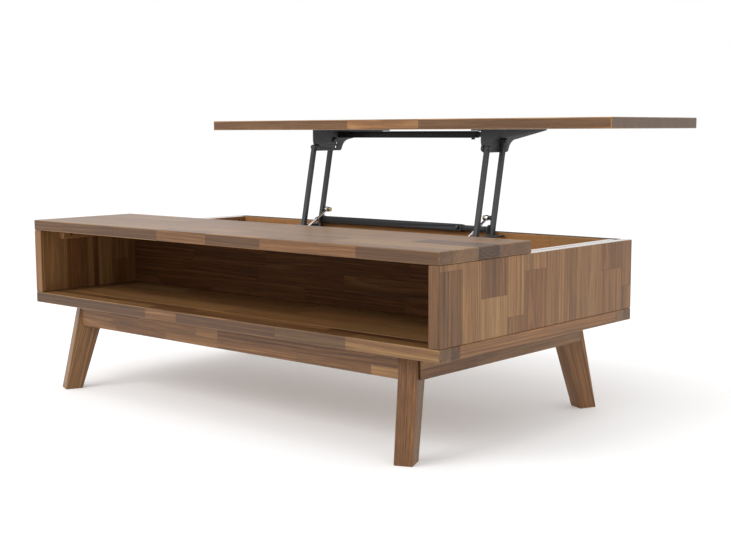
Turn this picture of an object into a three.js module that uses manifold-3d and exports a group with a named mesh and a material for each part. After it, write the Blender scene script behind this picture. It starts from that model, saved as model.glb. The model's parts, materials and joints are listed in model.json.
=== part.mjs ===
// Lift-top coffee table in solid wood. A fixed top covers an open cubby at the front; behind it a
// lift top rises and comes towards the sitter on two steel parallelogram linkages with gas struts.
// Millimetres, +X along the length, +Y towards the sitter's side, +Z up. The lift top is raised.
// The origin is on the floor, under the middle of the raised table's box.
import * as THREE from "three";
import { mergeVertices } from "three/addons/utils/BufferGeometryUtils.js";
import Module from "manifold-3d";

// ---- Driving dimensions: the case ----
const LENGTH = 1200;
const DEPTH = 656;
const LEG_HEIGHT = 197;
const BOARD = 24; // thickness of tops, sides and rails
const SIDE_HEIGHT = 145;
const FIXED_TOP_DEPTH = 280;
const TOP_GAP = 2; // between the fixed top and the closed lift top
const FIT = 0.3; // gap between pieces that touch
const RAIL_WIDTH = 60; // of the bottom frame
const BOTTOM_PANEL = 18;
const DIVIDER_FRONT = 272; // back wall of the cubby, from the front face
const BATTEN_THICKNESS = 18;
const BATTEN_HEIGHT = 22;
const BATTEN_INSET = 51; // from the front face to the cubby battens

// ---- Legs and aprons ----
const LEG_THICKNESS = 36;
const LEG_WIDTH_FOOT = 40;
const LEG_WIDTH_TOP = 62;
const LEG_TURN = THREE.MathUtils.degToRad(23); // about the vertical
const FOOT_CORNER = [530, 15]; // outer corner: from the middle of the length, from the front face
const LEG_TOP_CORNER = [512, 52];
const APRON_HEIGHT = 49;
const APRON_THICKNESS = 20;
const FRONT_APRON_INSET = 39;
const SIDE_APRON_INSET = 85;
const FRONT_APRON_HALF = 484;
const SIDE_APRON_START = 57;

// ---- Lift linkage, from the front face and the floor, table closed ----
const ARM_LENGTH = 233.2; // between pivots
const RAISED_LEAN = THREE.MathUtils.degToRad(11.7); // past the vertical, towards the sitter
const CLOSED_LEAN = THREE.MathUtils.degToRad(-90.5);
const FRONT_PIVOT = { y: 552.7, drop: 40.7 }; // base pivots, drop below the case's rim
const REAR_PIVOT = { y: 617.1, drop: 23.2 };
const ARM_X = 266; // middle plane of the arms, from the middle of the length
const ARM_SIZE = 10;
const ARM_END_RADIUS = 6;
const PLATE = 3; // sheet steel
const TOP_PLATE_X = 256.5; // inner face of the top bracket's plate
const TOP_PLATE_INSET = 26; // from the lift top's front edge
const TOP_PLATE_HEIGHT = 52;
const TOP_FLANGE_LENGTH = 262;
const TOP_FLANGE_WIDTH = 30; // towards the middle of the table
const BASE_PLATE_X = 272;
const BASE_FLANGE_WIDTH = 22;
const FLANGE_FRONT = 520; // front end of the flange that lies on the partition
const PARTITION_X = 276;
const PARTITION_THICKNESS = 18;
const PARTITION_DROP = 8.8; // its top, below the case's rim
const PIN_RADIUS = 4;
const PIN_HEAD = { radius: 7, height: 4, chamfer: 0.8, chamferRadius: 5 };
const PIN_SWAGE = { radius: 5.5, length: 2.5 }; // outer end of a top pin
const CROSSBAR = 16; // outer tube, square
const CROSSBAR_INNER = 12;
const CROSSBAR_WALL = 1.6;
const CROSSBAR_OVERLAP = 84; // of the inner tube inside the outer one
const CLAMP_INSET = 12; // of the screw from the end of the outer tube
const CLAMP = { shank: 2, hole: 2.3, head: 4.5, headHeight: 3.5, chamfer: 0.5 };
const LOWER_BAR_SPLIT = 184; // x where the outer tube ends
const UPPER_BAR_SPLIT = 176;
const LOWER_BAR_UP_ARM = 29.3; // from the rear base pivot
const UPPER_BAR = { back: 124, drop: 11.8 }; // from the lift top's front edge, below its underside

// ---- Gas strut ----
const STRUT_X = 248;
const STUD_UP_ARM = 55.3;
const ANCHOR = { y: 405, drop: 92.8 };
const TUBE_RADIUS = 7.5;
const TUBE_LENGTH = 120;
const ROD_RADIUS = 3;
const TUBE_BORE_END = 16; // from the anchor
const ROD_LENGTH = 152; // from inside the tube to the stud
const ROD_STOP = { back: 46, radius: 5, half: 2.5 }; // stop collar, back from the stud
const NECK = { start: 5, radius: 4, end: 12 }; // of the tube, next to its eye
const EYE_RADIUS = 7;
const EYE_THICKNESS = 8;
const ANCHOR_BOSS = 13; // radius of the base bracket round the anchor
const STUD_HEAD = { radius: 5.5, length: 6 }; // of the stud on the rear arm
const STUD_NECK = 4.5; // radius between the eye and the arm
const STUD_FOOT = 6; // radius against the arm
const ANCHOR_NECK = 5; // radius between the tube and the base plate
const EYE_PLAY = 0.5; // on each side of an eye

// ---- Derived places ----
const RIM = LEG_HEIGHT + BOARD + SIDE_HEIGHT;
const FLOOR_TOP = LEG_HEIGHT + BOARD;
const LIFT_DEPTH = DEPTH - FIXED_TOP_DEPTH - TOP_GAP;
const RISE = ARM_LENGTH * (Math.cos(RAISED_LEAN) - Math.cos(CLOSED_LEAN));
const REACH = ARM_LENGTH * (Math.sin(RAISED_LEAN) - Math.sin(CLOSED_LEAN));
const LIFT_FRONT = FIXED_TOP_DEPTH + TOP_GAP + REACH; // raised, from the case's front face
const LIFT_UNDER = RIM + RISE; // top of the top brackets, raised
const FRONT = -(LIFT_FRONT + LIFT_DEPTH) / 2; // y of the case's front face

// ---- Materials ----
const wood = new THREE.MeshStandardMaterial({ color: 0x8c6a4c, roughness: 0.5, metalness: 0 });
const innerWood = new THREE.MeshStandardMaterial({ color: 0x9a6c40, roughness: 0.6, metalness: 0 });
const steel = new THREE.MeshStandardMaterial({ color: 0x3b3d40, roughness: 0.5, metalness: 0.4 });
const pinSteel = new THREE.MeshStandardMaterial({ color: 0x1d1e20, roughness: 0.4, metalness: 0.8 });
const rodSteel = new THREE.MeshStandardMaterial({ color: 0xb9b4b8, roughness: 0.2, metalness: 1 });
const brass = new THREE.MeshStandardMaterial({ color: 0x9a8258, roughness: 0.35, metalness: 1 });

const table = new THREE.Group();

function add(parent, name, geometry, material, place = [0, 0, 0]) {
  const mesh = new THREE.Mesh(geometry, material);
  mesh.name = name;
  mesh.position.set(...place);
  parent.add(mesh);
  return mesh;
}

// ---- Booleans ----
const wasm = await Module();
wasm.setup();

function solid(geometry) {
  const bare = geometry.clone();
  bare.deleteAttribute("normal");
  bare.deleteAttribute("uv");
  const merged = mergeVertices(bare);
  const mesh = { numProp: 3, vertProperties: merged.attributes.position.array };
  return new wasm.Manifold(new wasm.Mesh({ ...mesh, triVerts: new Uint32Array(merged.index.array) }));
}

function surface(body) {
  const mesh = body.getMesh();
  const geometry = new THREE.BufferGeometry();
  geometry.setAttribute("position", new THREE.BufferAttribute(mesh.vertProperties, 3));
  geometry.setIndex(new THREE.BufferAttribute(mesh.triVerts, 1));
  geometry.computeVertexNormals();
  return geometry;
}

function joined(...geometries) {
  return surface(geometries.map(solid).reduce((a, b) => a.add(b)));
}

function cut(geometry, ...cutters) {
  return surface(cutters.map(solid).reduce((a, b) => a.subtract(b), solid(geometry)));
}

// ---- Shapes ----
// A board from its low corner to its high corner, with y counted from the case's front face.
function boxBetween(low, high) {
  const size = high.map((v, i) => v - low[i]);
  const geometry = new THREE.BoxGeometry(...size);
  return geometry.translate(low[0] + size[0] / 2, low[1] + size[1] / 2, low[2] + size[2] / 2);
}

function board(name, low, high, material = wood) {
  return add(table, name, boxBetween(low, high), material, [0, FRONT, 0]);
}

// A flat shape drawn in the Y-Z plane, given its thickness along +X from x.
function sheet(shape, x, thickness, curveSegments = 8) {
  const settings = { depth: thickness, bevelEnabled: false, curveSegments };
  const geometry = new THREE.ExtrudeGeometry(shape, settings);
  const [alongX, alongY, alongZ] = [0, 1, 2].map((i) => new THREE.Vector3().setComponent(i, 1));
  return geometry.applyMatrix4(new THREE.Matrix4().makeBasis(alongY, alongZ, alongX)).translate(x, 0, 0);
}

function hole(y, z, radius) {
  const path = new THREE.Path();
  path.absarc(y, z, radius, 0, 2 * Math.PI, true);
  return path;
}

// A turned piece along +X: pairs of [x, radius] from its low end to its high end.
function turned(steps, segments = 20) {
  const points = [[steps[0][0], 0], ...steps, [steps.at(-1)[0], 0]];
  const profile = points.map(([x, r]) => new THREE.Vector2(r, x));
  const geometry = new THREE.LatheGeometry(profile, segments);
  return geometry.rotateZ(-Math.PI / 2);
}

// A six-sided block between a lower and an upper ring of four corners, both anticlockwise from above.
function block(lower, upper) {
  const corners = [...lower, ...upper].flat();
  const faces = [[3, 2, 1, 0], [4, 5, 6, 7], [0, 1, 5, 4], [1, 2, 6, 5], [2, 3, 7, 6], [3, 0, 4, 7]];
  const geometry = new THREE.BufferGeometry();
  geometry.setAttribute("position", new THREE.Float32BufferAttribute(corners, 3));
  geometry.setIndex(faces.flatMap(([a, b, c, d]) => [a, b, c, a, c, d]));
  return geometry;
}

// ---- Case ----
function makeTops() {
  const half = LENGTH / 2;
  board("fixed_top", [-half, 0, RIM + FIT], [half, FIXED_TOP_DEPTH, RIM + BOARD]);
  const rear = LIFT_FRONT + LIFT_DEPTH;
  board("lift_top", [-half, LIFT_FRONT, LIFT_UNDER + FIT], [half, rear, LIFT_UNDER + BOARD]);
}

function makeBottomFrame() {
  const half = LENGTH / 2;
  const low = LEG_HEIGHT;
  board("bottom_front_rail", [-half, 0, low], [half, RAIL_WIDTH, FLOOR_TOP]);
  board("bottom_rear_rail", [-half, DEPTH - RAIL_WIDTH, low], [half, DEPTH, FLOOR_TOP]);
  const from = RAIL_WIDTH + FIT;
  const to = DEPTH - RAIL_WIDTH - FIT;
  const inner = half - RAIL_WIDTH;
  board("bottom_left_rail", [-half, from, low], [-inner, to, FLOOR_TOP]);
  board("bottom_right_rail", [inner, from, low], [half, to, FLOOR_TOP]);
  const edge = inner - FIT;
  board("bottom_panel", [-edge, from, FLOOR_TOP - BOTTOM_PANEL], [edge, to, FLOOR_TOP]);
}

function makeWalls() {
  const half = LENGTH / 2;
  const low = FLOOR_TOP + FIT;
  const inner = half - BOARD - FIT;
  board("left_side_panel", [-half, 0, low], [BOARD - half, DEPTH, RIM]);
  board("right_side_panel", [half - BOARD, 0, low], [half, DEPTH, RIM]);
  board("back_panel", [-inner, DEPTH - BOARD, low], [inner, DEPTH, RIM]);
  board("cubby_back", [-inner, DIVIDER_FRONT, low], [inner, DIVIDER_FRONT + BOARD, RIM]);
  const from = DIVIDER_FRONT + BOARD + FIT;
  const to = DEPTH - BOARD - FIT;
  const high = RIM - PARTITION_DROP;
  for (const [side, x] of [["left", -PARTITION_X - PARTITION_THICKNESS], ["right", PARTITION_X]])
    board(`${side}_partition`, [x, from, low], [x + PARTITION_THICKNESS, to, high], innerWood);
}

function makeBattens() {
  const outer = LENGTH / 2 - BOARD - FIT;
  const low = RIM - BATTEN_HEIGHT;
  const spans = {
    front: [BATTEN_INSET, DIVIDER_FRONT - FIT],
    rear: [DIVIDER_FRONT + BOARD + FIT, DEPTH - BOARD - FIT],
  };
  for (const [side, x] of [["left", -outer], ["right", outer - BATTEN_THICKNESS]])
    for (const [place, [from, to]] of Object.entries(spans))
      board(`${side}_${place}_batten`, [x, from, low], [x + BATTEN_THICKNESS, to, RIM], innerWood);
}

// ---- Legs and aprons ----
// The four corners of a leg's cross-section, for the right front leg, grown outwards by grow.
function legRing([x, y], width, z, grow) {
  const across = [-Math.cos(LEG_TURN), -Math.sin(LEG_TURN)];
  const along = [-Math.sin(LEG_TURN), Math.cos(LEG_TURN)];
  const corner = (a, b) => [x + a * across[0] + b * along[0], y + a * across[1] + b * along[1], z];
  const [t, w] = [LEG_THICKNESS + grow, width + grow];
  return [corner(-grow, -grow), corner(-grow, w), corner(t, w), corner(t, -grow)];
}

// mirrorX and mirrorY are 1 or -1; a leg is mirrored in the middle of the case.
function legGeometry(mirrorX, mirrorY, grow = 0) {
  const mirror = ([x, y, z]) => [x * mirrorX, mirrorY > 0 ? y : DEPTH - y, z];
  const rings = [
    legRing(FOOT_CORNER, LEG_WIDTH_FOOT, 0, grow).map(mirror),
    legRing(LEG_TOP_CORNER, LEG_WIDTH_TOP, LEG_HEIGHT - FIT + grow, grow).map(mirror),
  ];
  if (mirrorX * mirrorY < 0) rings.forEach((ring) => ring.reverse());
  return block(...rings);
}

function makeLegs() {
  for (const [place, mirrorY] of [["front", 1], ["rear", -1]])
    for (const [side, mirrorX] of [["left", -1], ["right", 1]])
      add(table, `${place}_${side}_leg`, legGeometry(mirrorX, mirrorY), wood, [0, FRONT, 0]);
}

function makeAprons() {
  const low = LEG_HEIGHT - APRON_HEIGHT;
  const high = LEG_HEIGHT - FIT;
  const legs = [-1, 1].flatMap((x) => [-1, 1].map((y) => legGeometry(x, y, FIT)));
  const [x, y] = [FRONT_APRON_HALF, FRONT_APRON_INSET];
  const [sideX, sideY] = [LENGTH / 2 - SIDE_APRON_INSET, SIDE_APRON_START];
  const thick = APRON_THICKNESS;
  const blanks = {
    front_apron: [[-x, y, low], [x, y + thick, high]],
    rear_apron: [[-x, DEPTH - y - thick, low], [x, DEPTH - y, high]],
    left_apron: [[-sideX, sideY, low], [thick - sideX, DEPTH - sideY, high]],
    right_apron: [[sideX - thick, sideY, low], [sideX, DEPTH - sideY, high]],
  };
  for (const [name, [from, to]] of Object.entries(blanks)) {
    const parts = solid(cut(boxBetween(from, to), ...legs)).decompose();
    parts.sort((a, b) => b.volume() - a.volume());
    add(table, name, surface(parts[0]), wood, [0, FRONT, 0]);
  }
}

// ---- Lift mechanism: one side, drawn for +X and mirrored for -X ----
const onArm = (pivot, distance, lean) => ({
  y: pivot.y + distance * Math.sin(lean),
  z: RIM - pivot.drop + distance * Math.cos(lean),
});

function armGeometry() {
  const h = ARM_SIZE / 2;
  const r = ARM_END_RADIUS;
  const bend = Math.asin(h / r); // where the round end meets the bar's side
  const shape = new THREE.Shape();
  shape.absarc(0, 0, r, Math.PI - (Math.PI / 2 - bend), 2 * Math.PI + (Math.PI / 2 - bend), false);
  shape.absarc(0, ARM_LENGTH, r, -(Math.PI / 2 - bend), Math.PI + (Math.PI / 2 - bend), false);
  shape.holes.push(hole(0, 0, PIN_RADIUS + FIT), hole(0, ARM_LENGTH, PIN_RADIUS + FIT));
  return sheet(shape, -h, ARM_SIZE);
}

function makeArm(parent, name, pivot) {
  const arm = add(parent, name, armGeometry(), steel, [ARM_X, FRONT + pivot.y, RIM - pivot.drop]);
  arm.rotation.x = -RAISED_LEAN;
}

// A pivot pin: head on the inner side, a shank through plate and arm, and a swaged end on a top pin.
function makePin(parent, name, { y, z }, [head, shank], swaged) {
  const steps = [
    [head - PIN_HEAD.height, PIN_HEAD.chamferRadius],
    [head - PIN_HEAD.height + PIN_HEAD.chamfer, PIN_HEAD.radius],
    [head, PIN_HEAD.radius],
    [head, PIN_RADIUS],
    [shank, PIN_RADIUS],
  ];
  if (swaged) steps.push([shank, PIN_SWAGE.radius], [shank + PIN_SWAGE.length, PIN_SWAGE.radius]);
  add(parent, name, turned(steps), pinSteel, [0, FRONT + y, z]);
}

// The plate's outline: points back from its front edge and down from the flange's top.
function topBracketGeometry(front, rear) {
  const y = (back) => LIFT_FRONT + TOP_PLATE_INSET + back;
  const z = (down) => LIFT_UNDER - down;
  const shape = new THREE.Shape();
  shape.moveTo(y(0), z(0));
  shape.lineTo(y(0), z(28));
  shape.lineTo(y(5), z(48));
  shape.quadraticCurveTo(y(7), z(TOP_PLATE_HEIGHT), y(12), z(TOP_PLATE_HEIGHT));
  shape.lineTo(y(96), z(TOP_PLATE_HEIGHT));
  shape.quadraticCurveTo(y(102), z(TOP_PLATE_HEIGHT), y(105), z(44));
  shape.quadraticCurveTo(y(111), z(28), y(128), z(24));
  shape.lineTo(y(TOP_FLANGE_LENGTH), z(PLATE));
  shape.lineTo(y(TOP_FLANGE_LENGTH), z(0));
  for (const pin of [front, rear]) shape.holes.push(hole(pin.y, pin.z, PIN_RADIUS + FIT));
  shape.holes.push(hole(y(86), z(33), 2.6), hole(y(82), z(43), 3.2));
  const plate = sheet(shape, TOP_PLATE_X, PLATE);
  const inner = TOP_PLATE_X + PLATE - TOP_FLANGE_WIDTH;
  const flange = boxBetween([inner, y(0), z(PLATE)], [TOP_PLATE_X + 1, y(TOP_FLANGE_LENGTH), z(0)]);
  return joined(plate, flange);
}

function baseBracketGeometry() {
  const z = (drop) => RIM - drop;
  const rear = DEPTH - BOARD - PLATE;
  const shape = new THREE.Shape();
  shape.moveTo(rear, z(PARTITION_DROP - PLATE - FIT));
  shape.lineTo(FLANGE_FRONT, z(PARTITION_DROP - PLATE - FIT));
  shape.lineTo(FLANGE_FRONT - 8, z(50));
  shape.lineTo(ANCHOR.y, z(ANCHOR.drop - ANCHOR_BOSS));
  shape.absarc(ANCHOR.y, z(ANCHOR.drop), ANCHOR_BOSS, Math.PI / 2, (3 * Math.PI) / 2, false);
  shape.lineTo(ANCHOR.y + 60, z(ANCHOR.drop + ANCHOR_BOSS));
  shape.lineTo(rear - 24, z(66));
  shape.quadraticCurveTo(rear, z(60), rear, z(40));
  for (const { y, drop } of [FRONT_PIVOT, REAR_PIVOT, ANCHOR])
    shape.holes.push(hole(y, z(drop), PIN_RADIUS + FIT));
  const plate = sheet(shape, BASE_PLATE_X, PLATE);
  const low = z(PARTITION_DROP) + FIT;
  const inner = BASE_PLATE_X + 1;
  const outer = BASE_PLATE_X + BASE_FLANGE_WIDTH;
  const flange = boxBetween([inner, FLANGE_FRONT, low], [outer, rear, low + PLATE]);
  return joined(plate, flange);
}

// Gas strut, drawn along +Y from the anchor and turned up to the stud on the rear arm.
function eyeGeometry(y) {
  const ring = new THREE.Shape();
  ring.absarc(y, 0, EYE_RADIUS, 0, 2 * Math.PI, false);
  return sheet(ring, -EYE_THICKNESS / 2, EYE_THICKNESS);
}

// A piece turned about +Y: pairs of [radius, y].
function turnedAlongY(steps) {
  return new THREE.LatheGeometry(steps.map(([r, y]) => new THREE.Vector2(r, y)), 20);
}

function tubeGeometry() {
  const bore = ROD_RADIUS + FIT;
  const shoulder = TUBE_RADIUS - NECK.radius; // also the rise of its chamfer along Y
  const tube = turnedAlongY([
    [0, NECK.start],
    [NECK.radius, NECK.start],
    [NECK.radius, NECK.end],
    [TUBE_RADIUS, NECK.end + shoulder / 2],
    [TUBE_RADIUS, TUBE_LENGTH - 3],
    [TUBE_RADIUS - 1.5, TUBE_LENGTH],
    [bore, TUBE_LENGTH],
    [bore, TUBE_BORE_END],
    [0, TUBE_BORE_END],
  ]);
  return joined(tube, eyeGeometry(0));
}

// The rod ends in an eye on the stud, at y = length.
function rodGeometry(length) {
  const stop = length - ROD_STOP.back;
  const rod = turnedAlongY([
    [0, length - ROD_LENGTH],
    [ROD_RADIUS, length - ROD_LENGTH],
    [ROD_RADIUS, stop - ROD_STOP.half],
    [ROD_STOP.radius, stop - ROD_STOP.half],
    [ROD_STOP.radius, stop + ROD_STOP.half],
    [ROD_RADIUS, stop + ROD_STOP.half],
    [ROD_RADIUS, length - ROD_RADIUS],
    [0, length - ROD_RADIUS],
  ]);
  return cut(joined(rod, eyeGeometry(length)), studBore(length));
}

function makeStrut(parent, side) {
  const stud = onArm(REAR_PIVOT, STUD_UP_ARM, RAISED_LEAN);
  const [dy, dz] = [stud.y - ANCHOR.y, stud.z - (RIM - ANCHOR.drop)];
  const strut = new THREE.Group();
  strut.position.set(STRUT_X, FRONT + ANCHOR.y, RIM - ANCHOR.drop);
  strut.rotation.x = Math.atan2(dz, dy);
  parent.add(strut);
  add(strut, `${side}_strut_tube`, tubeGeometry(), steel);
  add(strut, `${side}_strut_rod`, rodGeometry(Math.hypot(dy, dz)), rodSteel);
  makeStrutStuds(parent, side, stud);
}

function studBore(y) {
  const radius = ROD_RADIUS + FIT;
  return turned([[-EYE_THICKNESS, radius], [EYE_THICKNESS, radius]], 16).translate(0, y, 0);
}

function makeStrutStuds(parent, side, stud) {
  const inner = STRUT_X - EYE_THICKNESS / 2;
  const outer = STRUT_X + EYE_THICKNESS / 2;
  const armFace = ARM_X - ARM_SIZE / 2 - FIT;
  const upper = turned([
    [inner - EYE_PLAY - STUD_HEAD.length, STUD_HEAD.radius],
    [inner - EYE_PLAY, STUD_HEAD.radius],
    [inner - EYE_PLAY, ROD_RADIUS],
    [outer + EYE_PLAY, ROD_RADIUS],
    [outer + EYE_PLAY, STUD_NECK],
    [armFace - PLATE, STUD_NECK],
    [armFace - PLATE, STUD_FOOT],
    [armFace, STUD_FOOT],
  ]);
  add(parent, `${side}_strut_top_stud`, upper, brass, [0, FRONT + stud.y, stud.z]);
  const lower = turned([
    [outer + EYE_PLAY, ANCHOR_NECK],
    [BASE_PLATE_X - FIT, ANCHOR_NECK],
    [BASE_PLATE_X - FIT, PIN_RADIUS],
    [BASE_PLATE_X + PLATE, PIN_RADIUS],
  ]);
  add(parent, `${side}_strut_anchor_stud`, lower, pinSteel, [0, FRONT + ANCHOR.y, RIM - ANCHOR.drop]);
}

function makeMechanismSide(side, mirrorX) {
  const half = new THREE.Group();
  half.scale.x = mirrorX;
  table.add(half);
  const pins = { front: FRONT_PIVOT, rear: REAR_PIVOT };
  const topOf = (pivot) => onArm(pivot, ARM_LENGTH, RAISED_LEAN);
  const tops = { front: topOf(FRONT_PIVOT), rear: topOf(REAR_PIVOT) };
  add(half, `${side}_base_bracket`, baseBracketGeometry(), steel, [0, FRONT, 0]);
  add(half, `${side}_top_bracket`, topBracketGeometry(tops.front, tops.rear), steel, [0, FRONT, 0]);
  const armInner = ARM_X - ARM_SIZE / 2;
  const armOuter = ARM_X + ARM_SIZE / 2;
  for (const [place, pivot] of Object.entries(pins)) {
    makeArm(half, `${side}_${place}_arm`, pivot);
    const base = { y: pivot.y, z: RIM - pivot.drop };
    makePin(half, `${side}_${place}_base_pin`, base, [armInner - FIT, BASE_PLATE_X + PLATE], false);
    makePin(half, `${side}_${place}_top_pin`, tops[place], [TOP_PLATE_X - FIT, armOuter + FIT], true);
  }
  makeStrut(half, side);
}

// ---- Crossbars: a square outer tube, a smaller tube that slides in it, and a clamp screw ----
function squareTube(size, wall, from, to) {
  const shape = new THREE.Shape();
  const h = size / 2;
  shape.moveTo(-h, -h).lineTo(h, -h).lineTo(h, h).lineTo(-h, h).closePath();
  const inner = new THREE.Path();
  const i = h - wall;
  inner.moveTo(-i, -i).lineTo(-i, i).lineTo(i, i).lineTo(i, -i).closePath();
  shape.holes.push(inner);
  return sheet(shape, from, to - from);
}

// screwTurn is 0 for a screw in the front face and a quarter turn for one in the lower face.
function makeCrossbar(name, { y, z }, end, split, lean, screwTurn) {
  const bar = new THREE.Group();
  bar.position.set(0, FRONT + y, z);
  bar.rotation.x = -lean;
  table.add(bar);
  const screwX = split - CLAMP_INSET;
  const drill = new THREE.CylinderGeometry(CLAMP.hole, CLAMP.hole, CROSSBAR, 12);
  drill.translate(screwX, -CROSSBAR / 2, 0);
  const turn = (geometry) => geometry.rotateX(screwTurn);
  const outer = squareTube(CROSSBAR, CROSSBAR_WALL, -end, split);
  add(bar, `${name}_crossbar_outer`, cut(outer, turn(drill)), steel);
  const inner = squareTube(CROSSBAR_INNER, CROSSBAR_WALL, split - CROSSBAR_OVERLAP, end);
  add(bar, `${name}_crossbar_inner`, inner, steel);
  const head = CROSSBAR / 2 + FIT;
  const tip = CROSSBAR_INNER / 2 + FIT;
  const top = head + CLAMP.headHeight;
  const screw = turnedAlongY([
    [0, -top],
    [CLAMP.head - CLAMP.chamfer, -top],
    [CLAMP.head, CLAMP.chamfer - top],
    [CLAMP.head, -head],
    [CLAMP.shank, -head],
    [CLAMP.shank, -tip],
    [0, -tip],
  ]);
  add(bar, `${name}_clamp_screw`, turn(screw.translate(screwX, 0, 0)), pinSteel);
}

function makeCrossbars() {
  const lower = onArm(REAR_PIVOT, LOWER_BAR_UP_ARM, RAISED_LEAN);
  makeCrossbar("lower", lower, ARM_X - ARM_SIZE / 2 - FIT, LOWER_BAR_SPLIT, RAISED_LEAN, 0);
  const upper = { y: LIFT_FRONT + UPPER_BAR.back, z: LIFT_UNDER - UPPER_BAR.drop };
  makeCrossbar("upper", upper, TOP_PLATE_X - FIT, UPPER_BAR_SPLIT, 0, Math.PI / 2);
}

makeTops();
makeBottomFrame();
makeWalls();
makeBattens();
makeLegs();
makeAprons();
makeMechanismSide("left", -1);
makeMechanismSide("right", 1);
makeCrossbars();

export default table;
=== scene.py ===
# Looks of the lift top coffee table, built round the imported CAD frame. Metres, +Z up.
import json
import math
import random

import bmesh
import bpy
from mathutils import Matrix, Vector


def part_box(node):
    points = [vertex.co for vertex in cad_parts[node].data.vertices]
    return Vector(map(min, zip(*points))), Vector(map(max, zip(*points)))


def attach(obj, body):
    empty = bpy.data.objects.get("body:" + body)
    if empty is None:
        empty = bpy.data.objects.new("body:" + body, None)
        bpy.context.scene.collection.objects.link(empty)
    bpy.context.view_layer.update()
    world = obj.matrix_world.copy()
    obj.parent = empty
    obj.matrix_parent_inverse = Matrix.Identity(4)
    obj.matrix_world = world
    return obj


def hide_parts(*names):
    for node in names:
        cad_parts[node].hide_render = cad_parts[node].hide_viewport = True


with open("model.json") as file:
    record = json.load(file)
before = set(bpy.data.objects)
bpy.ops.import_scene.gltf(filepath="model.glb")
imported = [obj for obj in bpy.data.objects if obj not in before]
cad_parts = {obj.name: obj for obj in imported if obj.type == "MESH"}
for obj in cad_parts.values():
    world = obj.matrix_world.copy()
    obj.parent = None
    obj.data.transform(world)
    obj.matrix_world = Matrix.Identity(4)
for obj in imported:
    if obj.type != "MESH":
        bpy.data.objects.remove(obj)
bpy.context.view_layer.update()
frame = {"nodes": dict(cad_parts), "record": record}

MM = 0.001
X, Y, Z = 0, 1, 2
UNITS = (Vector((1, 0, 0)), Vector((0, 1, 0)), Vector((0, 0, 1)))
SEED = 20

# ---- Camera: where it stands, where it looks and how long its lens is ----
CAMERA_PLACE = (1.8653, -2.0911, 0.5958)
CAMERA_YAW = math.radians(41.423)  # to the left of +Y
CAMERA_PITCH = math.radians(6.735)  # downwards
CAMERA_ROLL = math.radians(-0.225)
CAMERA_FAR = 60.0
LENS_MM = 60.06
SENSOR_MM = 36.0

# ---- Stage: the floor, and each light's name, place, aim, size in metres and watts ----
FLOOR_SIZE = 90.0
FLOOR_GLOW = 0.24
SKY_STRENGTH = 1.0
SOFTBOXES = (
    ("top_softbox", (0.0, 0.2, 2.6), (0, 0, 0.4), (2.6, 2.0), 12),
    ("front_softbox", (-0.9, -2.9, 2.3), (0, 0, 0.35), (2.2, 1.4), 46),
)

# ---- Lengths along the grain, in millimetres ----
TOP_LENGTH = 1200
SIDE_HEIGHT = 145
SIDE_RAIL_LENGTH = 536
LONG_APRON_LENGTH = 970
SHORT_APRON_LENGTH = 540
BATTEN_LENGTH = 400

# ---- Rounding of the edges ----
EDGE = 1.8 * MM  # of the boards
PANEL_EDGE = 0.5 * MM  # of the bottom panel
BRACKET_EDGE = 0.5 * MM
ARM_EDGE = 1.0 * MM
PIN_EDGE = 0.3 * MM
OUTER_TUBE_EDGE = 0.9 * MM
INNER_TUBE_EDGE = 0.7 * MM

# ---- Angles in degrees: sharper edges are rounded, or stay creased in smooth shading ----
SHARP_WOOD = 20
SHARP_STEEL = 35
CREASED_STEEL = 28
CREASED_HEAD = 35

# ---- Mesh work ----
WELD_DISTANCE = 0.01 * MM
FLAT_ANGLE = math.radians(0.5)  # faces closer than this to one plane become one face
CUT_PRECISION = 1e-7

# ---- Staves ----
PITH_ALONG = 3.0  # metres that a stave's grain may be shifted along itself
PITH_ACROSS = 0.05  # metres that its pith may lie to the side of its middle
PITH_DEPTH = (0.012, 0.07)  # metres that its pith lies above or below the board's low face
HUE_SPREAD = 0.2
END_FACING = 0.85  # a face that looks this much along the grain shows end grain
SAME_FACING = 0.9
OUTSIDE = 1.0  # distance given to a stave's side that has no glue line

# ---- Legs ----
LEG_TURN = math.radians(23)  # of a leg's faces about the vertical
LEG_HALF_WIDTH = 45 * MM  # more than half of the leg's width
LEG_LENGTH = 230 * MM  # longer than the leg
LEG_GLUE_SHIFT = 6  # mm that the glue line may lie off the leg's middle

# ---- Screws, gussets and rivets ----
SHEET = 3 * MM  # of the brackets and gussets
SCREW_RADIUS = 3.8 * MM
SCREW_HEIGHT = 1.0 * MM
SCREW_RECESS = 0.7 * MM
# Each ring's radius and height as shares of the screw's; the last three shape the cross recess.
SCREW_PROFILE = ((1.0, 0.0), (1.0, 0.35), (0.86, 0.72), (0.62, 0.95), (0.58, 1.0), (0.24, 1.0), (0.10, 1.0))
SCREW_SEGMENTS = 32
PLATE_SCREWS = ((38, 12), (78, 20))  # mm back and up from the base plate's low corner
BASE_FLANGE_SCREWS = (17, 94)  # mm in from the rear end
BASE_FLANGE_SCREW_INSET = 9 * MM  # from the flange's outer edge
TOP_FLANGE_SCREWS = (22, 130, 240)  # mm back from the front end
TOP_FLANGE_SCREW_INSET = 10 * MM  # from the flange's inner edge
BATTEN_SCREW_INSET = 22 * MM  # from the batten's ends
GUSSET = ((-15, -9), (9, -9), (9, 9), (-6, 11), (-15, 4))  # mm round the crossbar's middle, in Y and Z
GUSSET_GAP = 0.3 * MM  # between a gusset and its arm's inner face
RIVET_PLACE = (-11, -3)  # mm, as for GUSSET
RIVET_PROFILE = ((3, 0), (2.9, 0.5), (2.3, 1.1), (1.2, 1.4))  # mm of each ring's radius and height
RIVET_SEGMENTS = 24

# ---- Kinds of face that the wood material tells apart ----
END_PALE = 0.0
ROUNDED = 0.5
END_BROWN = 0.8
# The lift top's end grain, greyed as a painted reflection of the white surroundings.
END_GREY = 1.0


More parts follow.
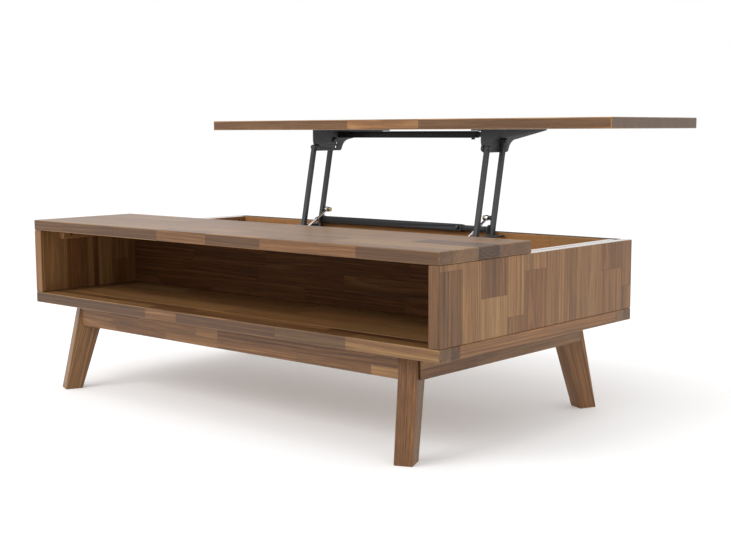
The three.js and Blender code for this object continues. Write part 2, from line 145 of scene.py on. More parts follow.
# ======== Node helpers ========
class Nodes:
    """A material's node tree with short calls for the nodes used here."""

    def __init__(self, name):
        self.material = bpy.data.materials.new(name)
        self.material.use_nodes = True
        self.tree = self.material.node_tree
        self.shader = self.tree.nodes["Principled BSDF"]

    def node(self, kind, **settings):
        made = self.tree.nodes.new("ShaderNode" + kind)
        for key, value in settings.items():
            setattr(made, key, value)
        return made

    def put(self, socket, value):
        """Links value to socket, or sets it if value is a number or a tuple."""
        if isinstance(value, bpy.types.NodeSocket):
            self.tree.links.new(value, socket)
        else:
            socket.default_value = value

    def math(self, operation, a, b=0.0, c=0.0):
        made = self.node("Math", operation=operation)
        for socket, value in zip(made.inputs, (a, b, c)):
            self.put(socket, value)
        return made.outputs[0]

    def vector(self, operation, a, b):
        made = self.node("VectorMath", operation=operation)
        self.put(made.inputs[0], a)
        self.put(made.inputs[1], b)
        return made.outputs["Value" if operation in ("LENGTH", "DOT_PRODUCT") else "Vector"]

    def noise(self, vector, detail=2.0, roughness=0.5, distortion=0.0, dimensions="3D", scale=1.0):
        made = self.node("TexNoise", noise_dimensions=dimensions)
        self.put(made.inputs["W" if dimensions == "1D" else "Vector"], vector)
        self.put(made.inputs["Scale"], scale)
        self.put(made.inputs["Detail"], detail)
        self.put(made.inputs["Roughness"], roughness)
        self.put(made.inputs["Distortion"], distortion)
        return made.outputs["Fac"]

    def between(self, value, low, high, to_low=0.0, to_high=1.0):
        """value taken from low..high to to_low..to_high, and held at the ends."""
        made = self.node("MapRange")
        for key, number in zip(("From Min", "From Max", "To Min", "To Max"), (low, high, to_low, to_high)):
            self.put(made.inputs[key], number)
        self.put(made.inputs["Value"], value)
        return made.outputs[0]

    def ramp(self, value, stops):
        made = self.node("ValToRGB")
        elements = made.color_ramp.elements
        while len(elements) < len(stops):
            elements.new(1.0)
        for element, (place, colour) in zip(elements, stops):
            element.position = place
            element.color = (*colour, 1.0)
        self.put(made.inputs[0], value)
        return made.outputs[0]

    def mix(self, factor, a, b, blend="MIX"):
        made = self.node("Mix", data_type="RGBA", blend_type=blend)
        made.clamp_factor = True
        self.put(made.inputs[0], factor)
        for socket, value in zip((made.inputs[6], made.inputs[7]), (a, b)):
            self.put(socket, (*value, 1.0) if isinstance(value, tuple) and len(value) == 3 else value)
        return made.outputs[2]

    def bump(self, height, strength, distance):
        made = self.node("Bump")
        self.put(made.inputs["Strength"], strength)
        self.put(made.inputs["Distance"], distance)
        self.put(made.inputs["Height"], height)
        self.put(self.shader.inputs["Normal"], made.outputs[0])

    def finish(self, **sockets):
        for key, value in sockets.items():
            self.put(self.shader.inputs[key.replace("_", " ").title().replace("Ior", "IOR")], value)
        return self.material


# ======== Wood ========
WOOD_TONES = (
    (0.00, (0.020, 0.008, 0.003)),
    (0.20, (0.068, 0.028, 0.010)),
    (0.45, (0.160, 0.075, 0.026)),
    (0.65, (0.255, 0.137, 0.052)),
    (0.85, (0.365, 0.215, 0.086)),
    (1.00, (0.500, 0.320, 0.150)),
)


# ---- How finely each pattern of the grain repeats along, across and through the stave ----
WOBBLE_SCALE = (1.6, 7.0, 7.0)
WOBBLE_REACH = (0, 0.03, 0.03)
RING_SCALE = 250.0
STREAK_SCALE = (1.1, 42.0, 42.0)
FIBRE_SCALE = (9.0, 430.0, 430.0)
PORE_SCALE = (38.0, 1100.0, 1100.0)

# ---- How far each pattern lightens or darkens the wood ----
RING_REACH = 0.13
STREAK_REACH = 0.13
FIBRE_REACH = 0.16

RED_TINT = (1.10, 0.90, 0.80)
OLIVE_TINT = (0.97, 1.03, 1.04)
PORE_COLOUR = (0.035, 0.018, 0.010)
END_TINT = (0.74, 0.74, 0.78)
# The end grain's own greyish brown; the lift top's ends take more of it, as a painted reflection.
END_GRAIN_AND_SHEEN_GREY = (0.110, 0.083, 0.066)
# Lighter colour on the rounded edges: their wear, and a painted highlight along them.
EDGE_WEAR_AND_HIGHLIGHT_COLOUR = (0.42, 0.28, 0.15)
GLUE_COLOUR = (0.030, 0.016, 0.010)
GLUE_WIDTH = (0.25 * MM, 0.7 * MM)  # where a glue line starts to fade, and where it ends
GLUE_STRENGTH = 0.55


def grain_patterns(n, grain):
    """Growth rings round the pith, long streaks, fibres and pores, each as a value from 0 to 1."""
    wobble = n.node("TexNoise")
    n.put(wobble.inputs["Vector"], n.vector("MULTIPLY", grain, WOBBLE_SCALE))
    n.put(wobble.inputs["Scale"], 1.0)
    centred = n.vector("SUBTRACT", wobble.outputs["Color"], (0.5, 0.5, 0.5))
    bent = n.vector("ADD", grain, n.vector("MULTIPLY", centred, WOBBLE_REACH))
    radius = n.vector("LENGTH", n.vector("MULTIPLY", bent, (0, 1, 1)), (0, 0, 0))
    rings = n.noise(n.math("MULTIPLY", radius, RING_SCALE), detail=3.0, roughness=0.7, dimensions="1D")
    streaks = n.noise(n.vector("MULTIPLY", bent, STREAK_SCALE), detail=4.0, roughness=0.62, distortion=0.2)
    fibres = n.noise(n.vector("MULTIPLY", grain, FIBRE_SCALE), detail=3.0, roughness=0.65)
    pores = n.noise(n.vector("MULTIPLY", grain, PORE_SCALE), detail=1.0)
    return rings, streaks, fibres, pores


def wood_material(name, lacquer=0.0, film=0.1, roughness=0.42, figure=1.0, ior=1.42, shade=0.0, warmth=0.0):
    """Solid-textured acacia. It reads what each stave's corners carry:
    grain = (along, across, through) in metres from the stave's own pith,
    joint = distances to three sides of the stave, stave = (tone, hue, kind, distance to the fourth).
    lacquer and film are the coat's weight and roughness. figure scales the grain's contrast, shade lightens
    the wood, or darkens it below zero, and warmth takes it from olive towards red."""
    n = Nodes(name)
    grain = n.node("Attribute", attribute_name="grain").outputs["Vector"]
    joint = n.node("SeparateXYZ")
    n.put(joint.inputs[0], n.node("Attribute", attribute_name="joint").outputs["Vector"])
    stave = n.node("Attribute", attribute_name="stave")
    part = n.node("SeparateColor")
    n.put(part.inputs[0], stave.outputs["Color"])
    tone, hue, kind = part.outputs

    rings, streaks, fibres, pores = grain_patterns(n, grain)
    is_pore = n.between(pores, 0.62, 0.72)
    is_end = n.math("GREATER_THAN", kind, (ROUNDED + END_GREY) / 2)
    is_edge = n.math("MULTIPLY", n.math("GREATER_THAN", kind, ROUNDED / 2), n.math("SUBTRACT", 1.0, is_end))

    level = n.math("ADD", tone, shade)
    for pattern, reach in ((rings, RING_REACH), (streaks, STREAK_REACH), (fibres, FIBRE_REACH)):
        level = n.math("ADD", level, n.between(pattern, 0.25, 0.75, -reach * figure, reach * figure))
    colour = n.ramp(level, WOOD_TONES)
    red = n.mix(1.0, colour, RED_TINT, "MULTIPLY")
    olive = n.mix(1.0, colour, OLIVE_TINT, "MULTIPLY")
    hue_here = n.math("ADD", hue, n.between(streaks, 0.3, 0.7, warmth - 0.25, warmth + 0.25))
    colour = n.mix(hue_here, olive, red)
    colour = n.mix(n.math("MULTIPLY", is_pore, 0.35), colour, PORE_COLOUR)
    end_grain = n.mix(1.0, colour, END_TINT, "MULTIPLY")
    # A little grey is the end grain's own colour; the larger share on the lift top's ends is a painted
    # reflection.
    end_grain = n.mix(n.between(kind, END_BROWN, END_GREY, 0.15, 0.65), end_grain, END_GRAIN_AND_SHEEN_GREY)
    colour = n.mix(is_end, colour, end_grain)
    # The rounded edges are lightened: wear, and a painted highlight along them.
    colour = n.mix(n.math("MULTIPLY", is_edge, 0.05), colour, EDGE_WEAR_AND_HIGHLIGHT_COLOUR)
    nearest = n.math("MINIMUM", n.math("MINIMUM", joint.outputs[0], joint.outputs[1]),
                     n.math("MINIMUM", joint.outputs[2], stave.outputs["Alpha"]))
    glue = n.between(nearest, *GLUE_WIDTH, GLUE_STRENGTH, 0.0)
    colour = n.mix(glue, colour, GLUE_COLOUR)

    height = n.math("SUBTRACT", n.math("MULTIPLY", fibres, 0.6), n.math("MULTIPLY", is_pore, 0.8))
    n.bump(n.math("SUBTRACT", height, glue), 0.35, 0.25 * MM)
    rough = n.math("ADD", n.between(fibres, 0.2, 0.8, roughness - 0.05, roughness + 0.06),
                   n.math("MULTIPLY", is_pore, 0.1))
    return n.finish(base_color=colour, roughness=rough, ior=ior,
                    coat_weight=lacquer, coat_roughness=film, coat_ior=1.6)


WOOD = wood_material("acacia_satin")
TOP_WOOD = wood_material("acacia_rubbed_top", lacquer=0.10, film=0.3, roughness=0.4)
DARK_RIM_WOOD = wood_material("acacia_dark_rim", roughness=0.6, ior=1.3, shade=-0.3)
RIM_WOOD = wood_material("acacia_lacquered_rim", lacquer=1.0, roughness=0.3)
PLAIN_WOOD = wood_material("acacia_plain_inner", roughness=0.5, figure=0.4, ior=1.35)
SHADED_WOOD = wood_material("acacia_shaded", roughness=0.65, figure=0.7, ior=1.2)
# A lighter, warmer copy of the wood for the lift top's front face: painted light from the front.
LIT_FRONT_EDGE_WOOD = wood_material("acacia_lit_front_edge", shade=0.28, warmth=0.4)
# A lighter, warmer and plainer copy of the wood for the back panel's inner face: painted light falling in
# from the front.
LIT_INNER_BACK_WOOD = wood_material("acacia_lit_inner_back", roughness=0.5, figure=0.4, ior=1.35,
                                shade=0.32, warmth=0.35)


def random_strips(rng, width, length, widths, lengths, tones):
    """Strips (width, [(end, tone), ...]) of random staves that fill width by length, all in metres."""
    strips = []
    left = width
    while left > 0:
        size = rng.uniform(*widths)
        size = left if left - size < 0.6 * widths[0] else size
        pieces = []
        end = -rng.uniform(0, lengths[1])
        while end < length:
            end += rng.uniform(*lengths)
            if end > 0:
                pieces.append((min(end, length), rng.uniform(*tones)))
        strips.append((size, pieces))
        left -= size
    return strips


def welded(node):
    """A CAD node's mesh as whole faces in place of triangles."""
    bm = bmesh.new()
    bm.from_mesh(frame["nodes"][node].data)
    bmesh.ops.remove_doubles(bm, verts=bm.verts, dist=WELD_DISTANCE)
    bmesh.ops.dissolve_limit(bm, angle_limit=FLAT_ANGLE, verts=bm.verts, edges=bm.edges)
    return bm


def rounded(bm, radius, sharper_than=SHARP_WOOD):
    """Rounds the sharp edges and returns a face layer that marks the new faces."""
    mark = bm.faces.layers.int.new("rounded")
    edges = [e for e in bm.edges if e.calc_face_angle(0) > math.radians(sharper_than)]
    made = bmesh.ops.bevel(bm, geom=edges, offset=radius, offset_type="OFFSET", segments=2,
                           profile=0.5, affect="EDGES", clamp_overlap=True)
    for face in made["faces"]:
        face[mark] = 1
    return mark


def slice_faces(bm, faces, place, normal):
    parts = set(faces)
    for face in faces:
        parts.update(face.verts)
        parts.update(face.edges)
    bmesh.ops.bisect_plane(bm, geom=list(parts), dist=CUT_PRECISION, plane_co=place, plane_no=normal)


class Staves:
    """Cuts a board's faces into staves and writes on their corners what the wood material reads.
    basis gives the directions along, across and through the grain; origin is the board's low corner."""

    def __init__(self, rng, origin, basis, strips, hue=0.3, end_kind=END_BROWN):
        self.rng = rng
        self.end_kind = end_kind
        self.origin = origin
        self.along, self.across, self.through = basis
        self.cells = []
        low = 0.0
        for i, (width, pieces) in enumerate(strips):
            start = 0.0
            for j, (end, tone) in enumerate(pieces):
                self.cells.append(self.cell(low, low + width, start, end, tone, hue,
                                            (i == 0, i == len(strips) - 1, j == 0, j == len(pieces) - 1)))
                start = end
            low += width

    def cell(self, low, high, start, end, tone, hue, outer):
        """A stave: its sides, its look, and the place of its pith."""
        rng = self.rng
        pith = (rng.uniform(-PITH_ALONG, PITH_ALONG),
                (low + high) / 2 + rng.uniform(-PITH_ACROSS, PITH_ACROSS),
                rng.choice((-1, 1)) * rng.uniform(*PITH_DEPTH))
        return {"across": (low, high), "along": (start, end), "tone": tone, "pith": pith, "outer": outer,
                "hue": min(1.0, max(0.0, hue + rng.uniform(-HUE_SPREAD, HUE_SPREAD)))}

    def place(self, point):
        offset = point - self.origin
        return offset.dot(self.along), offset.dot(self.across), offset.dot(self.through)

    def cut(self, bm):
        for low in sorted({c["across"][0] for c in self.cells} - {0.0}):
            slice_faces(bm, bm.faces[:], self.origin + self.across * low, self.across)
        for c in self.cells:
            if c["outer"][2]:
                continue
            low, high = c["across"]
            faces = [f for f in bm.faces if low < self.place(f.calc_center_median())[1] < high]
            slice_faces(bm, faces, self.origin + self.along * c["along"][0], self.along)

    def find(self, along, across):
        def miss(c):
            return (max(c["across"][0] - across, across - c["across"][1], 0.0)
                    + max(c["along"][0] - along, along - c["along"][1], 0.0))
        return min(self.cells, key=miss)

    def write(self, bm, mark):
        grain = bm.loops.layers.float_vector.new("grain")
        joint = bm.loops.layers.float_vector.new("joint")
        stave = bm.loops.layers.float_color.new("stave")
        for face in bm.faces:
            c = self.find(*self.place(face.calc_center_median())[:2])
            end = abs(face.normal.dot(self.along)) > END_FACING and not face[mark]
            kind = self.end_kind if end else ROUNDED * face[mark]
            for loop in face.loops:
                a, w, t = self.place(loop.vert.co)
                gaps = (w - c["across"][0], c["across"][1] - w, a - c["along"][0], c["along"][1] - a)
                gaps = [OUTSIDE if outer else gap for gap, outer in zip(gaps, c["outer"])]
                loop[grain] = (a + c["pith"][0], w - c["pith"][1], t - c["pith"][2])
                loop[joint] = gaps[:3]
                loop[stave] = (c["tone"], c["hue"], kind, gaps[3])


def finish_mesh(bm, name, materials, mark=None):
    """Turns a bmesh into an object, shaded smoothly on the faces that mark names."""
    for face in bm.faces:
        face.smooth = bool(mark and face[mark])
    mesh = bpy.data.meshes.new(name)
    bm.to_mesh(mesh)
    bm.free()
    for material in materials:
        mesh.materials.append(material)
    piece = bpy.data.objects.new(name, mesh)
    bpy.context.scene.collection.objects.link(piece)
    return piece


def mount_piece(piece, body, slot, *nodes):
    """Lets a piece move with a body, in place of the CAD nodes that are named."""
    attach(piece, body)
    if nodes:
        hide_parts(*nodes)


def body_of(node):
    return next(b for b, members in frame["record"]["behaviour"]["bodies"].items() if node in members)


def slot_of(node):
    return next(s["material_slot"] for s in frame["record"]["subparts"] if s["node"] == node)


def make_board(node, along, across, strips=None, widths=(45, 85), lengths=(180, 420), tones=(0.42, 0.62),
               hue=0.35, wood=WOOD, upper=None, front=None, edge=EDGE, end_kind=END_BROWN):
    """A board of glued staves in place of a CAD node. Its strips run from the low corner, in millimetres like
    widths and lengths. edge is in metres. upper and front are the woods of the faces that look up and to the
    front, if they differ from the rest."""
    rng = random.Random(f"{SEED}{node}")
    low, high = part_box(node)
    size = high - low
    through = 3 - along - across
    if strips is None:
        metres = [tuple(v * MM for v in pair) for pair in (widths, lengths)]
        strips = random_strips(rng, size[across], size[along], *metres, tones)
    else:
        strips = [(w * MM, [(end * MM, tone) for end, tone in pieces]) for w, pieces in strips]
    bm = welded(node)
    mark = rounded(bm, edge)
    staves = Staves(rng, low, [UNITS[i] for i in (along, across, through)], strips, hue, end_kind)
    staves.cut(bm)
    staves.write(bm, mark)
    woods = [wood]
    for other, facing in ((upper, UNITS[Z]), (front, -UNITS[Y])):
        if other:
            for face in bm.faces:
                if face.normal.dot(facing) > SAME_FACING:
                    face.material_index = len(woods)
            woods.append(other)
    mount_piece(finish_mesh(bm, node + "_board", woods, mark), body_of(node), slot_of(node), node)


def span(length, *tones_and_ends):
    """Pieces of one strip: tone, end, tone, end, ..., tone; the last one ends at length."""
    tones = tones_and_ends[0::2]
    ends = [*tones_and_ends[1::2], length]
    return list(zip(ends, tones))


def make_tops():
    make_board("fixed_top", X, Y, [
        (36, span(TOP_LENGTH, 0.54, 448, 0.42, 603, 0.53, 760, 0.42, 1010, 0.45)),
        (78, span(TOP_LENGTH, 0.46, 260, 0.50, 640, 0.43, 905, 0.58)),
        (63, span(TOP_LENGTH, 0.45, 390, 0.48, 720, 0.50, 1040, 0.24)),
        (103, span(TOP_LENGTH, 0.49, 310, 0.44, 560, 0.50, 880, 0.48)),
    ], hue=0.35, upper=TOP_WOOD)
    make_board("lift_top", X, Y, [
        (50, span(TOP_LENGTH, 0.54, 262, 0.57, 480, 0.42, 700, 0.55, 946, 0.56, 1100, 0.56)),
        (66, span(TOP_LENGTH, 0.50, 330, 0.60, 690, 0.48, 960, 0.54)),
        (87, span(TOP_LENGTH, 0.58, 200, 0.46, 610, 0.56, 850, 0.46)),
        (58, span(TOP_LENGTH, 0.48, 420, 0.58, 740, 0.52)),
        (72, span(TOP_LENGTH, 0.55, 280, 0.45, 590, 0.60, 990, 0.46)),
        (41, span(TOP_LENGTH, 0.50, 350, 0.56, 810, 0.56)),
    ], hue=0.4, upper=TOP_WOOD, front=LIT_FRONT_EDGE_WOOD, end_kind=END_GREY)


def make_bottom():
    make_board("bottom_front_rail", X, Y, [
        (35, span(TOP_LENGTH, 0.58, 404, 0.42, 506, 0.44, 800, 0.41, 983, 0.49)),
        (25, span(TOP_LENGTH, 0.40, 520, 0.50, 900, 0.30)),
    ])
    make_board("bottom_rear_rail", X, Y, widths=(28, 32))
    make_board("bottom_right_rail", Y, X, [
        (32, span(SIDE_RAIL_LENGTH, 0.48, 310, 0.42)),
        (28, span(SIDE_RAIL_LENGTH, 0.49)),
    ], hue=0.5)
    make_board("bottom_left_rail", Y, X, [
        (27, span(SIDE_RAIL_LENGTH, 0.50, 260, 0.44)),
        (33, span(SIDE_RAIL_LENGTH, 0.46, 340, 0.54)),
    ])
    make_board("bottom_panel", X, Y, widths=(45, 90), tones=(0.54, 0.68), hue=0.4, edge=PANEL_EDGE)


def make_walls():
    high = SIDE_HEIGHT
    make_board("right_side_panel", Z, Y, [
        (2, span(high, 0.36)),
        (64, span(high, 0.42, 133, 0.58)),
        (56, span(high, 0.60)),
        (82, span(high, 0.66, 75, 0.42)),
        (53, span(high, 0.46, 32, 0.60)),
        (73, span(high, 0.47, 113, 0.56)),
        (70, span(high, 0.56)),
        (39, span(high, 0.48)),
        (45, span(high, 0.54)),
        (47, span(high, 0.53)),
        (82, span(high, 0.51, 90, 0.43)),
        (43, span(high, 0.50, 50, 0.48)),
    ], hue=0.45, upper=RIM_WOOD)
    make_board("left_side_panel", Z, Y, [
        (2, span(high, 0.50)),
        (71, span(high, 0.56)),
        (58, span(high, 0.43)),
        (17, span(high, 0.58)),
        (15, span(high, 0.38)),
        (39, span(high, 0.64)),
        (62, span(high, 0.50, 60, 0.54)),
        (48, span(high, 0.56)),
        (70, span(high, 0.42, 104, 0.58)),
        (44, span(high, 0.50)),
        (81, span(high, 0.60, 46, 0.40)),
        (57, span(high, 0.46)),
        (49, span(high, 0.58, 88, 0.50)),
        (43, span(high, 0.44)),
    ], hue=0.6, upper=RIM_WOOD)
    make_board("back_panel", X, Z, widths=(30, 60), tones=(0.46, 0.56), lengths=(250, 500), hue=0.5,
               upper=DARK_RIM_WOOD, front=LIT_INNER_BACK_WOOD)
    # The cubby back's low tones are painted shade deep inside the cubby.
    make_board("cubby_back", X, Z, widths=(30, 52), tones=(0.20, 0.28), hue=0.7, wood=SHADED_WOOD)
    for side in ("left", "right"):
        make_board(f"{side}_partition", Y, Z, widths=(60, 80), tones=(0.62, 0.68), hue=0.9, wood=PLAIN_WOOD)
        for place in ("front", "rear"):
            make_board(f"{side}_{place}_batten", Y, X, [(18, span(BATTEN_LENGTH, 0.62))], hue=0.7,
                       upper=RIM_WOOD, end_kind=END_PALE)


def make_aprons():
    make_board("front_apron", X, Z, [
        (20, span(LONG_APRON_LENGTH, 0.47, 130, 0.37, 300, 0.49, 470, 0.41, 700, 0.38, 890, 0.62)),
        (29, span(LONG_APRON_LENGTH, 0.41, 210, 0.47, 400, 0.53, 470, 0.40, 900, 0.37)),
    ], hue=0.5)
    make_board("rear_apron", X, Z, widths=(20, 29), tones=(0.36, 0.56))
    for side in ("left", "right"):
        make_board(f"{side}_apron", Y, Z, [
            (20, span(SHORT_APRON_LENGTH, 0.42, 170, 0.48)),
            (29, span(SHORT_APRON_LENGTH, 0.58, 90, 0.50, 330, 0.54)),
        ])


LEG_TONES = {
    "front_left_leg": (0.50, 0.56),
    "front_right_leg": (0.40, 0.50),
    "rear_left_leg": (0.44, 0.52),
    "rear_right_leg": (0.50, 0.62),
}


def middle_of(points):
    return sum(points, Vector()) / len(points)


def leg_basis(node):
    """The middle of a leg's foot, then the ways up it, across its width and through its thickness."""
    points = [v.co.copy() for v in frame["nodes"][node].data.vertices]
    low = min(p.z for p in points)
    high = max(p.z for p in points)
    foot, head = (middle_of([p for p in points if abs(p.z - z) < MM]) for z in (low, high))
    along = (head - foot).normalized()
    turn = LEG_TURN * (1 if foot.x * foot.y > 0 else -1)
    across = Matrix.Rotation(turn, 3, "Z") @ UNITS[Y]
    across = (across - along * across.dot(along)).normalized()
    return foot, along, across, along.cross(across)


def make_leg(node, tones):
    """A leg glued up from two staves."""
    rng = random.Random(f"{SEED}{node}")
    foot, along, across, through = leg_basis(node)
    first = LEG_HALF_WIDTH + rng.uniform(-LEG_GLUE_SHIFT, LEG_GLUE_SHIFT) * MM
    widths = (first, 2 * LEG_HALF_WIDTH - first)
    strips = [(width, [(LEG_LENGTH, tone)]) for width, tone in zip(widths, tones)]
    bm = welded(node)
    mark = rounded(bm, EDGE)
    staves = Staves(rng, foot - across * LEG_HALF_WIDTH, (along, across, through), strips, hue=0.45)
    staves.cut(bm)
    staves.write(bm, mark)
    mount_piece(finish_mesh(bm, node + "_turned", [WOOD], mark), "case", "wood", node)


def make_legs():
    for node, tones in LEG_TONES.items():
        make_leg(node, tones)


# ======== Metal ========
def powder_coat(name, dark, light):
    """Fine black powder coat: orange-peel bump, faint dust, and grey wear on the edges."""
    n = Nodes(name)
    place = n.node("TexCoord").outputs["Object"]
    peel = n.noise(place, detail=2.0, scale=1400.0)
    patch = n.noise(place, detail=4.0, roughness=0.6, scale=24.0)
    scuff = n.noise(n.vector("MULTIPLY", place, (60, 400, 400)), detail=3.0)
    colour = n.mix(patch, dark, light)
    colour = n.mix(n.between(scuff, 0.66, 0.8, 0.0, 0.35), colour, (0.07, 0.07, 0.074))
    wear = n.node("Attribute", attribute_name="wear").outputs["Fac"]
    rubbed = n.math("MULTIPLY", wear, n.between(patch, 0.35, 0.65, 0.15, 0.55))
    colour = n.mix(rubbed, colour, (0.11, 0.11, 0.115))
    n.bump(peel, 0.25, 0.15 * MM)
    return n.finish(base_color=colour, roughness=n.between(patch, 0.3, 0.7, 0.42, 0.54), ior=1.4)


def bare_metal(name, dark, light, roughness, streak):
    """Turned metal with fine tool marks round its axis and a duller film in patches."""
    n = Nodes(name)
    place = n.node("TexCoord").outputs["Object"]
    marks = n.noise(n.vector("MULTIPLY", place, streak), detail=2.0)
    film = n.noise(place, detail=3.0, scale=180.0)
    colour = n.mix(n.between(film, 0.3, 0.7), dark, light)
    wear = n.node("Attribute", attribute_name="wear").outputs["Fac"]
    colour = n.mix(n.math("MULTIPLY", wear, 0.35), colour, light)
    n.bump(marks, 0.2, 0.05 * MM)
    return n.finish(base_color=colour, metallic=1.0,
                    roughness=n.between(marks, 0.3, 0.7, roughness - 0.05, roughness + 0.08))


STEEL = powder_coat("black_powder_coat", (0.030, 0.031, 0.034), (0.056, 0.058, 0.062))
# A lighter copy of the powder coat for the brackets and gussets: painted light on their faces.
LIT_BRACKET_STEEL = powder_coat("black_powder_coat_lit_brackets", (0.042, 0.043, 0.046), (0.074, 0.076, 0.080))
# A near-black copy of the powder coat for the crossbars: painted shade under the lift top.
SHADED_BAR_STEEL = powder_coat("black_powder_coat_shaded_bars", (0.005, 0.005, 0.006), (0.012, 0.012, 0.014))
PIN_STEEL = bare_metal("blackened_steel", (0.030, 0.030, 0.033), (0.085, 0.085, 0.09), 0.38, (2500, 300, 300))
ROD_STEEL = bare_metal("polished_rod", (0.52, 0.51, 0.52), (0.78, 0.77, 0.78), 0.16, (900, 900, 900))
BRASS = bare_metal("yellow_plating", (0.26, 0.18, 0.085), (0.48, 0.36, 0.19), 0.28, (2500, 300, 300))
METALS = {"steel": STEEL, "pin_steel": PIN_STEEL, "rod_steel": ROD_STEEL, "brass": BRASS}


def write_wear(bm, mark):
    layer = bm.loops.layers.float.new("wear")
    for face in bm.faces:
        for loop in face.loops:
            loop[layer] = float(face[mark])


def smooth_by_angle(piece, degrees):
    """Shades a piece smoothly, except across the edges sharper than degrees."""
    bm = bmesh.new()
    bm.from_mesh(piece.data)
    for face in bm.faces:
        face.smooth = True
    for edge in bm.edges:
        edge.smooth = edge.calc_face_angle(0) < math.radians(degrees)
    bm.to_mesh(piece.data)
    bm.free()


def make_steel(node, radius, metal=None):
    """A CAD sheet, bar or pin with its sharp edges rounded and worn."""
    bm = welded(node)
    mark = rounded(bm, radius, SHARP_STEEL)
    write_wear(bm, mark)
    slot = slot_of(node)
    piece = finish_mesh(bm, node + "_formed", [metal or METALS[slot]], mark)
    smooth_by_angle(piece, CREASED_STEEL)
    mount_piece(piece, body_of(node), slot, node)


def make_metalwork():
    for side in ("left", "right"):
        for part in ("base_bracket", "top_bracket"):
            make_steel(f"{side}_{part}", BRACKET_EDGE, LIT_BRACKET_STEEL)
        for part in ("front_arm", "rear_arm"):
            make_steel(f"{side}_{part}", ARM_EDGE)
        for part in ("front_base_pin", "rear_base_pin", "front_top_pin", "rear_top_pin",
                     "strut_tube", "strut_rod", "strut_top_stud", "strut_anchor_stud"):
            make_steel(f"{side}_{part}", PIN_EDGE)
        blacken_neck(side)
    for name in ("lower", "upper"):
        make_steel(f"{name}_crossbar_outer", OUTER_TUBE_EDGE, SHADED_BAR_STEEL)
        make_steel(f"{name}_crossbar_inner", INNER_TUBE_EDGE, SHADED_BAR_STEEL)
        make_steel(f"{name}_clamp_screw", PIN_EDGE)


def blacken_neck(side):
    """The stud on the rear arm is plated only on its head: the part next to the arm is black."""
    piece = bpy.data.objects[f"{side}_strut_top_stud_formed"]
    low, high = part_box(f"{side}_strut_rod")
    outer_face = max(abs(low.x), abs(high.x))
    piece.data.materials.append(PIN_STEEL)
    for polygon in piece.data.polygons:
        polygon.material_index = int(abs(polygon.center.x) > outer_face)


def span_of_side(node):
    """How far a node's inner and outer faces stand from the table's middle plane."""
    low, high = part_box(node)
    return sorted((abs(low.x), abs(high.x)))


def turned_rings(bm, rings, segments):
    """Circles (radius, height) joined from the first to the last, closed at both ends."""
    turns = [2 * math.pi * i / segments for i in range(segments)]
    circles = []
    for radius, height in rings:
        circles.append([bm.verts.new((radius * math.cos(t), radius * math.sin(t), height)) for t in turns])
    for low, high in zip(circles, circles[1:]):
        for i in range(segments):
            j = (i + 1) % segments
            bm.faces.new((low[i], low[j], high[j], high[i]))
    bm.faces.new(list(reversed(circles[0])))
    bm.faces.new(circles[-1])
    return circles


def mount_head(bm, name, body, place, facing):
    """Mounts a screw's or a rivet's head, made to stand on +Z, at its place and facing its way."""
    turn = UNITS[Z].rotation_difference(Vector(facing)).to_matrix().to_4x4()
    bmesh.ops.transform(bm, matrix=Matrix.Translation(place) @ turn, verts=bm.verts)
    piece = finish_mesh(bm, name, [PIN_STEEL])
    smooth_by_angle(piece, CREASED_HEAD)
    mount_piece(piece, body, "pin_steel")


def make_wood_screw(name, body, place, facing):
    """The domed head of a wood screw with a cross recess. It faces away from the sheet that it holds."""
    bm = bmesh.new()
    rings = [(SCREW_RADIUS * radius, SCREW_HEIGHT * height) for radius, height in SCREW_PROFILE]
    circles = turned_rings(bm, rings, SCREW_SEGMENTS)
    quarter = SCREW_SEGMENTS // 4
    for ring in circles[-3:]:
        for i, vert in enumerate(ring):
            if i % quarter in (0, 1, quarter - 1) or ring is circles[-1]:
                vert.co.z -= SCREW_RECESS
    mount_head(bm, name, body, place, facing)


def make_wood_screws():
    for side, sign in (("left", -1), ("right", 1)):
        low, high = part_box(f"{side}_base_bracket")
        inner, outer = span_of_side(f"{side}_base_bracket")
        for i, (back, up) in enumerate(PLATE_SCREWS):
            place = (sign * inner, low.y + back * MM, low.z + up * MM)
            make_wood_screw(f"{side}_plate_screw_{i + 1}", "case", place, (-sign, 0, 0))
        for i, back in enumerate(BASE_FLANGE_SCREWS):
            place = (sign * (outer - BASE_FLANGE_SCREW_INSET), high.y - back * MM, high.z)
            make_wood_screw(f"{side}_base_flange_screw_{i + 1}", "case", place, (0, 0, 1))
        for batten in ("front_batten", "rear_batten"):
            low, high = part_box(f"{side}_{batten}")
            inner, _ = span_of_side(f"{side}_{batten}")
            for i, y in enumerate((low.y + BATTEN_SCREW_INSET, high.y - BATTEN_SCREW_INSET)):
                place = (sign * inner, y, (low.z + high.z) / 2)
                make_wood_screw(f"{side}_{batten}_screw_{i + 1}", "case", place, (-sign, 0, 0))
        low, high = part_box(f"{side}_top_bracket")
        inner, _ = span_of_side(f"{side}_top_bracket")
        for i, back in enumerate(TOP_FLANGE_SCREWS):
            place = (sign * (inner + TOP_FLANGE_SCREW_INSET), low.y + back * MM, high.z - SHEET)
            make_wood_screw(f"{side}_top_flange_screw_{i + 1}", "lifting_top", place, (0, 0, -1))


def make_gusset(name, outline, near, far):
    """A plate between two places along X, from its outline's corners in Y and Z."""
    bm = bmesh.new()
    rings = [[bm.verts.new((x, y, z)) for y, z in outline] for x in (near, far)]
    for ring in rings:
        bm.faces.new(ring)
    for i in range(len(outline)):
        j = (i + 1) % len(outline)
        bm.faces.new((rings[0][i], rings[0][j], rings[1][j], rings[1][i]))
    bmesh.ops.recalc_face_normals(bm, faces=bm.faces)
    mark = rounded(bm, BRACKET_EDGE, SHARP_STEEL)
    write_wear(bm, mark)
    mount_piece(finish_mesh(bm, name, [LIT_BRACKET_STEEL], mark), "rear_arm_frame", "steel")


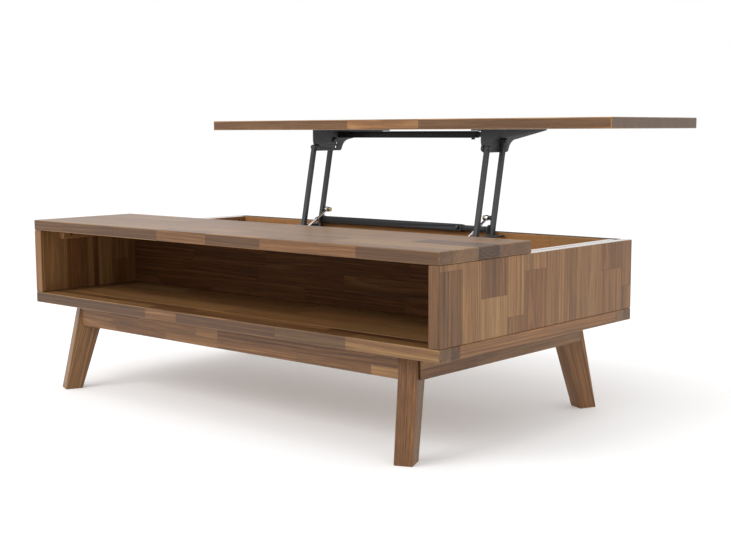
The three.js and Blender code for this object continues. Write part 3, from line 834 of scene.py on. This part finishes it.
def make_gussets():
    """The plates that join the lower crossbar to the rear arms, each with a rivet."""
    low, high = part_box("lower_crossbar_outer")
    middle = (low + high) / 2
    for side, sign in (("left", -1), ("right", 1)):
        far, _ = span_of_side(f"{side}_rear_arm")
        far -= GUSSET_GAP
        near = far - SHEET
        outline = [(middle.y + y * MM, middle.z + z * MM) for y, z in GUSSET]
        make_gusset(f"{side}_gusset", outline, sign * near, sign * far)
        bm = bmesh.new()
        turned_rings(bm, [(radius * MM, height * MM) for radius, height in RIVET_PROFILE], RIVET_SEGMENTS)
        place = (sign * near, middle.y + RIVET_PLACE[0] * MM, middle.z + RIVET_PLACE[1] * MM)
        mount_head(bm, f"{side}_gusset_rivet", "rear_arm_frame", place, (-sign, 0, 0))


# ======== Stage, light and camera ========
def make_stage():
    bpy.ops.mesh.primitive_plane_add(size=FLOOR_SIZE, location=(0, 0, 0))
    floor = bpy.context.object
    floor.name = "floor"
    n = Nodes("pale_floor")
    patch = n.noise(n.node("TexCoord").outputs["Object"], detail=2.0, scale=0.8)
    pale = n.mix(patch, (0.80, 0.80, 0.80), (0.82, 0.82, 0.82))
    floor.data.materials.append(n.finish(base_color=pale, roughness=0.9, specular_ior_level=0.0,
                                         emission_color=(1, 1, 1, 1), emission_strength=FLOOR_GLOW))


def area_light(name, place, aim, size, watts):
    light = bpy.data.lights.new(name, "AREA")
    light.shape = "RECTANGLE"
    light.size, light.size_y = size
    light.energy = watts
    lamp = bpy.data.objects.new(name, light)
    lamp.location = place
    lamp.rotation_euler = (Vector(aim) - Vector(place)).to_track_quat("-Z", "Y").to_euler()
    bpy.context.scene.collection.objects.link(lamp)


def make_lights():
    world = bpy.data.worlds.new("studio")
    world.use_nodes = True
    sky = world.node_tree.nodes["Background"]
    sky.inputs["Color"].default_value = (1, 1, 1, 1)
    sky.inputs["Strength"].default_value = SKY_STRENGTH
    bpy.context.scene.world = world
    for softbox in SOFTBOXES:
        area_light(*softbox)
    bpy.context.scene.view_settings.view_transform = "Standard"


def make_camera():
    camera = bpy.data.cameras.new("camera")
    camera.sensor_width = SENSOR_MM
    camera.lens = LENS_MM
    camera.clip_end = CAMERA_FAR
    turn = (Matrix.Rotation(CAMERA_YAW, 4, "Z") @ Matrix.Rotation(math.pi / 2 - CAMERA_PITCH, 4, "X")
            @ Matrix.Rotation(CAMERA_ROLL, 4, "Z"))
    eye = bpy.data.objects.new("camera", camera)
    eye.matrix_world = Matrix.Translation(CAMERA_PLACE) @ turn
    bpy.context.scene.collection.objects.link(eye)
    bpy.context.scene.camera = eye


make_camera()
make_stage()
make_lights()
make_tops()
make_bottom()
make_walls()
make_aprons()
make_legs()
make_metalwork()
make_wood_screws()
make_gussets()
